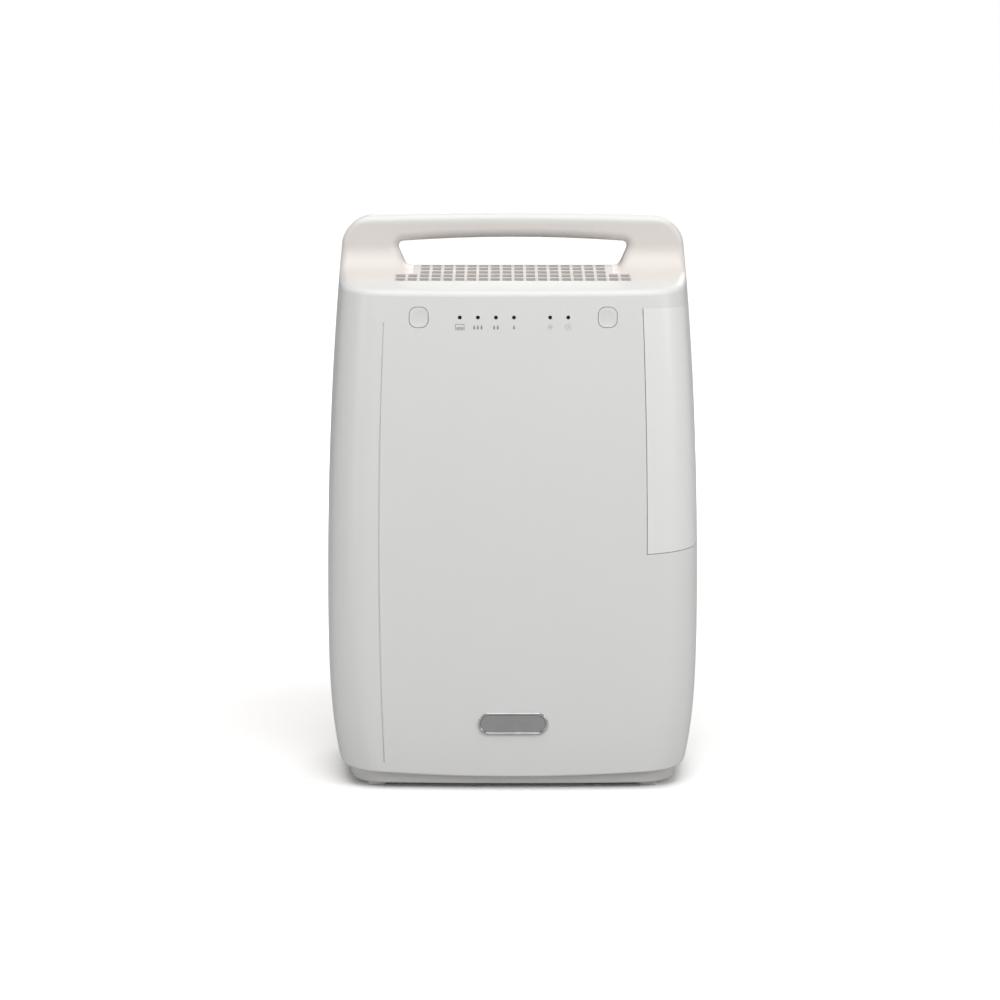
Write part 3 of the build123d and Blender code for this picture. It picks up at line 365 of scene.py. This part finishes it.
PRINT_SKIN = {"roughness": 0.5, "grain": 2600.0, "relief": 0.05, "wear": 0.0, "dust": 0.0}
INK_T = 0.00003                        # half the thickness of a printed film
ink = moulding("grey printing ink", (0.34, 0.34, 0.335), **PRINT_SKIN)


def surface_of(name):
    """A CAD piece's skin, for finding where a ray meets it."""
    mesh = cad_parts[name].data
    corners = [vertex.co for vertex in mesh.vertices]
    return BVHTree.FromPolygons(corners, [face.vertices for face in mesh.polygons])


def printed(name, shapes, finish, lay, body):
    """A film of ink on a curved face. A shape is a closed outline, or a pair of outlines
    of equal length with the space between them filled; lay puts a point on the face."""
    bm = bmesh.new()
    for shape in shapes:
        loops = shape if isinstance(shape, tuple) else (shape,)
        tops = [[bm.verts.new(lay(*point, -INK_T)) for point in loop] for loop in loops]
        feet = [[bm.verts.new(lay(*point, INK_T)) for point in loop] for loop in loops]
        for top, foot in zip(tops, feet):
            for i in range(len(top)):
                bm.faces.new((top[i - 1], top[i], foot[i], foot[i - 1]))
        for level in (tops, feet):
            if len(loops) == 1:
                bm.faces.new(level[0])
                continue
            for i in range(len(level[0])):
                bm.faces.new((level[0][i - 1], level[0][i], level[1][i], level[1][i - 1]))
    bmesh.ops.recalc_face_normals(bm, faces=bm.faces)
    mesh = bpy.data.meshes.new(name)
    bm.to_mesh(mesh)
    bm.free()
    mesh.materials.append(finish)
    made = bpy.data.objects.new(name, mesh)
    bpy.context.collection.objects.link(made)
    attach(made, body)


panel_surface = surface_of("tank_panel")
OUTSIDE = 0.3                          # where rays start, well clear of the casing


def on_panel(y, z, depth):
    """A point that deep under the tank's outer panel; above it if the depth is negative."""
    face = panel_surface.ray_cast(Vector((OUTSIDE, y, z)), Vector((-1, 0, 0)))[0]
    return face.x - depth, y, z


MARKS, MARK_T = 5, 0.0007
MARK_GAP, LONG_MARK, SHORT_MARK = 0.0025, 0.0075, 0.0055     # all from the window's edge
glass_low, glass_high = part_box("level_window")
marks = []
for mark in range(MARKS):
    z = glass_low[2] + (glass_high[2] - glass_low[2]) * (mark + 0.5) / MARKS
    far = glass_low[1] - (LONG_MARK if mark % 2 == 0 else SHORT_MARK)
    near = glass_low[1] - MARK_GAP
    marks.append([(far, z), (near, z), (near, z + MARK_T), (far, z + MARK_T)])
printed("print_level_marks", marks, ink, on_panel, "water_tank")


# ---- Electrical parts
# Green circuit boards, a black run capacitor, black tact switches behind the buttons, and
# a black cord gland with two collars, screwed down or pressed into the casing wall.


def build_board_tracks():
    """Copper tracks under green lacquer, as a mask of square cells; Pitch is per metre."""
    tree, given, out = new_group(
        "board tracks", [("Pitch", "Float", 260.0)], [("Mask", "Float")])
    place = put(tree, "TexCoord").outputs["Object"]
    inputs = {"Vector": place, "Scale": given["Pitch"]}
    cells = put(tree, "TexVoronoi", inputs, feature="F1", distance="CHEBYCHEV")
    tree.links.new(spread(tree, cells.outputs[0], low=0.42, high=0.46), out["Mask"])
    return tree


LACQUER, LACQUERED_COPPER = (0.02, 0.11, 0.05, 1), (0.05, 0.22, 0.09, 1)
board, tree, shader = material_of("green circuit board", Specular_IOR_Level=0.6)
tracks = put(tree, "Group", {"Pitch": 300.0}, node_tree=build_board_tracks()).outputs[0]
skin = put(tree, "Group", {"Color": LACQUER, "Roughness": 0.3},
           node_tree=moulded_skin).outputs
tree.links.new(mixed(tree, tracks, skin["Color"], LACQUERED_COPPER),
               shader.inputs["Base Color"])
tree.links.new(skin["Roughness"], shader.inputs["Roughness"])
raised = put(tree, "Bump", {"Strength": 0.4, "Distance": 0.0001, "Height": tracks})
tree.links.new(raised.outputs[0], shader.inputs["Normal"])
dress(board, "power_board", "humidity_sensor", "control_board")
dress(black_plastic, "run_capacitor", "cord_gland", "tact_switches")


# ---- Rear casing, intake and dust filter
# The rear half of the casing has a framed opening. A fixed grid guards the coils, and a
# cassette with a woven nylon mesh snaps in over it and pulls off for washing.

dress(casing_finish, "rear_casing")
dress(white_plastic, "intake_grille", "filter_frame")


def build_weave():
    """Plain square weave: what is thread, and how high it stands. Pitch is in metres, and
    Thread is the share of the pitch that a thread takes."""
    tree, given, out = new_group(
        "plain weave", [("Pitch", "Float", 0.0009), ("Thread", "Float", 0.42)],
        [("Mask", "Float"), ("Height", "Float")])
    place = put(tree, "TexCoord").outputs["Object"]
    parts = put(tree, "SeparateXYZ", {0: place}).outputs
    waves = []
    for axis in (0, 2):
        across = calc(tree, "DIVIDE", parts[axis], given["Pitch"])
        waves.append(calc(tree, "ABSOLUTE", calc(tree, "SUBTRACT",
                     calc(tree, "FRACT", across), 0.5)))
    nearest = calc(tree, "MINIMUM", waves[0], waves[1])
    half = calc(tree, "MULTIPLY", given["Thread"], 0.5)
    tree.links.new(calc(tree, "LESS_THAN", nearest, half), out["Mask"])
    tree.links.new(calc(tree, "SUBTRACT", 0.5, nearest), out["Height"])
    return tree


GREY_NYLON = (0.10, 0.105, 0.11, 1)
mesh_finish, tree, shader = material_of("woven nylon mesh", Roughness=0.6)
weave = put(tree, "Group", node_tree=build_weave()).outputs
skin = put(tree, "Group", {"Color": GREY_NYLON, "Mottle": 0.3},
           node_tree=moulded_skin).outputs
tree.links.new(skin["Color"], shader.inputs["Base Color"])
tree.links.new(weave["Mask"], shader.inputs["Alpha"])
raised = put(tree, "Bump", {"Strength": 0.5, "Distance": 0.0002, "Height": weave["Height"]})
tree.links.new(raised.outputs[0], shader.inputs["Normal"])
dress(mesh_finish, "filter_mesh")


# ---- Front casing and side panel
# Glossy pale ABS shells. The front half carries the controls; a separate narrow panel
# clips into its right side above the tank, so its edge shows as a crisp dark line.

# Painted light: the side panel is the same ABS as the casing, with a lighter colour that stands
# in for light falling on the right side.
lit_side_panel_finish = moulding(
    "side panel painted lighter", (0.875, 0.885, 0.875), roughness=0.33, **CASING_SKIN)
dress(casing_finish, "front_casing")
dress(lit_side_panel_finish, "side_panel")
dress(zinc, "casing_screws", "control_board_screws")


# ---- Controls
# Two square buttons with dished caps, six dark lamps behind the face, and under each
# lamp a small grey pictogram printed in thin ink.

button_finish = moulding(
    "button moulding", (0.80, 0.81, 0.795), roughness=0.34, grain=2200.0, relief=0.05,
    wear=0.3, Coat_Weight=0.15)
lamp_finish = moulding(
    "smoked lamp lens", (0.008, 0.008, 0.01), roughness=0.18, grain=900.0, relief=0.03,
    worn=(0.03, 0.03, 0.03), dust=0.02, Coat_Weight=0.5)
dress(button_finish, "button_left", "button_right")
dress(lamp_finish, "indicator_lenses")

FIRST_LAMP_X, LAMP_PITCH, LAMP_PLACES = -0.0461, 0.0156, (0, 1, 2, 3, 5, 6)
LAMP_X = [FIRST_LAMP_X + LAMP_PITCH * place for place in LAMP_PLACES]
PRINT_Z = 0.4122
front_surface = surface_of("front_casing")


def on_front(x, z, depth):
    """A point that deep under the front face; above it if the depth is negative."""
    face = front_surface.ray_cast(Vector((x, -OUTSIDE, z)), Vector((0, 1, 0)))[0]
    return x, face.y + depth, z


def circle(x, z, radius, count=20):
    return [(x + radius * cos(2 * pi * i / count), z + radius * sin(2 * pi * i / count))
            for i in range(count)]


DROP_WIDTH, DROP_TAPER = 0.62, 1.3


def drop(x, z, size, count=20):
    """A falling drop: round below, drawn to a point above."""
    points = []
    for i in range(count):
        turn = 2 * pi * i / count
        points.append((x + size * DROP_WIDTH * sin(turn) * sin(turn / 2) ** DROP_TAPER,
                       z + size * cos(turn)))
    return points


def box_line(x, z, half_w, half_h, line):
    """A rectangle drawn as a line of that thickness."""
    corners = ((-1, -1), (1, -1), (1, 1), (-1, 1))
    return tuple([(x + sx * (half_w - d), z + sz * (half_h - d)) for sx, sz in corners]
                 for d in (0.0, line))


faint_ink = moulding("faint printing ink", (0.52, 0.52, 0.51), **PRINT_SKIN)
lamp_tank, lamp_wet, lamp_mid, lamp_dry, lamp_frost, lamp_run = LAMP_X
TANK_W, TANK_H, TANK_LINE = 0.0040, 0.0026, 0.0005           # halves, and the line
WATER_W, WATER_H, WATER_LINE, WATER_DOWN = 0.0029, 0.0008, 0.0006, 0.0009
printed("print_tank_full", [
    box_line(lamp_tank, PRINT_Z, TANK_W, TANK_H, TANK_LINE),
    box_line(lamp_tank, PRINT_Z - WATER_DOWN, WATER_W, WATER_H, WATER_LINE)],
    ink, on_front, "housing")
DROP, APART = 0.0021, 0.0031
printed("print_three_drops", [
    drop(lamp_wet + shift, PRINT_Z, DROP) for shift in (-APART, 0.0, APART)],
    ink, on_front, "housing")
printed("print_two_drops", [
    drop(lamp_mid + shift, PRINT_Z, DROP) for shift in (-APART / 2, APART / 2)],
    ink, on_front, "housing")
printed("print_one_drop", [drop(lamp_dry, PRINT_Z, DROP)], ink, on_front, "housing")
SPOKES, SPOKE_LONG, SPOKE_WIDE = 3, 0.0028, 0.00025          # halves of each spoke
spokes = []
for spoke in range(SPOKES):
    turn = spoke * pi / SPOKES
    along = (cos(turn) * SPOKE_LONG, sin(turn) * SPOKE_LONG)
    side = (-sin(turn) * SPOKE_WIDE, cos(turn) * SPOKE_WIDE)
    spokes.append([
        (lamp_frost + a * along[0] + b * side[0], PRINT_Z + a * along[1] + b * side[1])
        for a, b in ((-1, -1), (1, -1), (1, 1), (-1, 1))])
printed("print_defrost", spokes, faint_ink, on_front, "housing")
RING_OUTER, RING_INNER, RING_DOT = 0.0027, 0.0022, 0.0007
printed("print_running", [
    (circle(lamp_run, PRINT_Z, RING_OUTER), circle(lamp_run, PRINT_Z, RING_INNER)),
    circle(lamp_run, PRINT_Z, RING_DOT)], faint_ink, on_front, "housing")


# ---- Badge
# A blank oval badge let into the lower front: a bright plated rim round a satin plate
# with a fine lengthwise brushing.

rim_metal = metal(
    "bright badge rim", (0.62, 0.62, 0.63), (0.50, 0.50, 0.52), roughness=0.16,
    lines=300.0, relief=0.02, spread_by=0.06)
plate_metal = metal(
    "satin badge plate", (0.52, 0.52, 0.53), (0.47, 0.47, 0.48), roughness=0.38,
    stretch=ALONG_X, lines=2200.0, relief=0.15, wear=0.2)
dress(rim_metal, "badge_rim")
dress(plate_metal, "badge_plate")


# ---- Outlet grille
# A warm grey-white ribbed moulding that sits flush in the saddle under the handle and
# lets the dried air out; dust gathers on its ribs.

grille_finish = moulding(
    "outlet grille moulding", (0.695, 0.665, 0.645), roughness=0.5, grain=1700.0,
    relief=0.14, mottle=0.05, wear=0.25, dust=0.14)
dress(grille_finish, "outlet_grille")


# ---- Studio
# A plain white floor that runs out to a white surround, a large soft light over the
# front, and weaker ones at the sides and behind.


def aim(thing, target):
    """Turns a lamp or the camera towards a point."""
    thing.rotation_euler = (Vector(target) - thing.location).to_track_quat("-Z", "Y").to_euler()


FLOOR_R, FLOOR_SIDES = 14.0, 96
floor_mesh = bpy.data.meshes.new("floor")
floor_points = circle(0, 0, FLOOR_R, FLOOR_SIDES)
floor_mesh.from_pydata([(x, y, 0) for x, y in floor_points], [], [range(FLOOR_SIDES)])
floor = bpy.data.objects.new("floor", floor_mesh)
bpy.context.collection.objects.link(floor)
floor_finish, tree, shader = material_of("white floor", Roughness=0.65)
shader.inputs["Emission Color"].default_value = (1, 1, 1, 1)
place = put(tree, "TexCoord").outputs["Object"]
away = put(tree, "VectorMath", {0: place}, operation="LENGTH").outputs["Value"]
seen_directly = put(tree, "LightPath").outputs["Is Camera Ray"]
GLOW_FROM, GLOW_FULL, GLOW = 0.3, 1.0, 0.8      # distances from the object, and strength
glowing = spread(tree, away, GLOW_FROM, GLOW_FULL, 0.0, GLOW)
glow = calc(tree, "MULTIPLY", glowing, seen_directly)
tree.links.new(glow, shader.inputs["Emission Strength"])
PLAIN_FLOOR, LIFTED_FLOOR = (0.5, 0.5, 0.5, 1), (1.35, 1.35, 1.35, 1)
floor_color = mixed(tree, seen_directly, PLAIN_FLOOR, LIFTED_FLOOR)
tree.links.new(floor_color, shader.inputs["Base Color"])
floor_mesh.materials.append(floor_finish)


def softbox(name, place, target, size, power, tint=(1, 1, 1)):
    """A rectangular area light, its size in metres and its power in watts."""
    lamp = bpy.data.lights.new(name, "AREA")
    lamp.shape = "RECTANGLE"
    lamp.size, lamp.size_y = size
    lamp.energy = power
    lamp.color = tint
    made = bpy.data.objects.new(name, lamp)
    made.location = place
    bpy.context.collection.objects.link(made)
    aim(made, target)


MIDDLE, WARM, COOL = (0, 0, 0.25), (1, 0.955, 0.925), (0.965, 1, 0.985)
softbox("overhead box", (-0.1, -0.55, 2.2), (0, -0.1, 0.2), size=(2.0, 1.4), power=20.0,
        tint=WARM)
softbox("front box", (0.1, -1.45, 1.75), (0, 0, 0.48), size=(1.2, 0.8), power=10.0,
        tint=COOL)
softbox("left box", (-1.9, -1.6, 0.7), MIDDLE, size=(0.3, 1.4), power=10.0)
softbox("right box", (2.1, -1.2, 1.1), (0, 0, 0.35), size=(0.4, 1.2), power=16.0)
softbox("rear box", (0.5, 2.3, 1.5), MIDDLE, size=(1.8, 1.2), power=15.0)

FILL_LIGHT = 0.27
world = bpy.data.worlds.new("white surround")
bpy.context.scene.world = world
world.use_nodes = True
tree = world.node_tree
seen = tree.nodes["Background"]
seen.inputs["Color"].default_value = (1, 1, 1, 1)
seen.inputs["Strength"].default_value = 1.0
fill = put(tree, "Background", {"Color": (1, 1, 1, 1), "Strength": FILL_LIGHT})
choice = put(tree, "MixShader", {
    0: put(tree, "LightPath").outputs["Is Camera Ray"], 1: fill.outputs[0], 2: seen.outputs[0]})
tree.links.new(choice.outputs[0], tree.nodes["World Output"].inputs[0])

ELEVATION, DISTANCE = radians(9.0), 2.4
PX_PER_M, FRAME_PX, SENSOR = 1098.0, 1000.0, 36.0
AIM_X, AIM_Z = -0.0114, 0.2452
camera_data = bpy.data.cameras.new("camera")
camera_data.sensor_width = SENSOR
camera_data.lens = SENSOR * DISTANCE * PX_PER_M / FRAME_PX
camera = bpy.data.objects.new("camera", camera_data)
camera.location = (AIM_X, -DISTANCE * cos(ELEVATION), AIM_Z + DISTANCE * sin(ELEVATION))
bpy.context.collection.objects.link(camera)
aim(camera, (AIM_X, 0, AIM_Z))
bpy.context.scene.camera = camera
bpy.context.scene.view_settings.view_transform = "Standard"
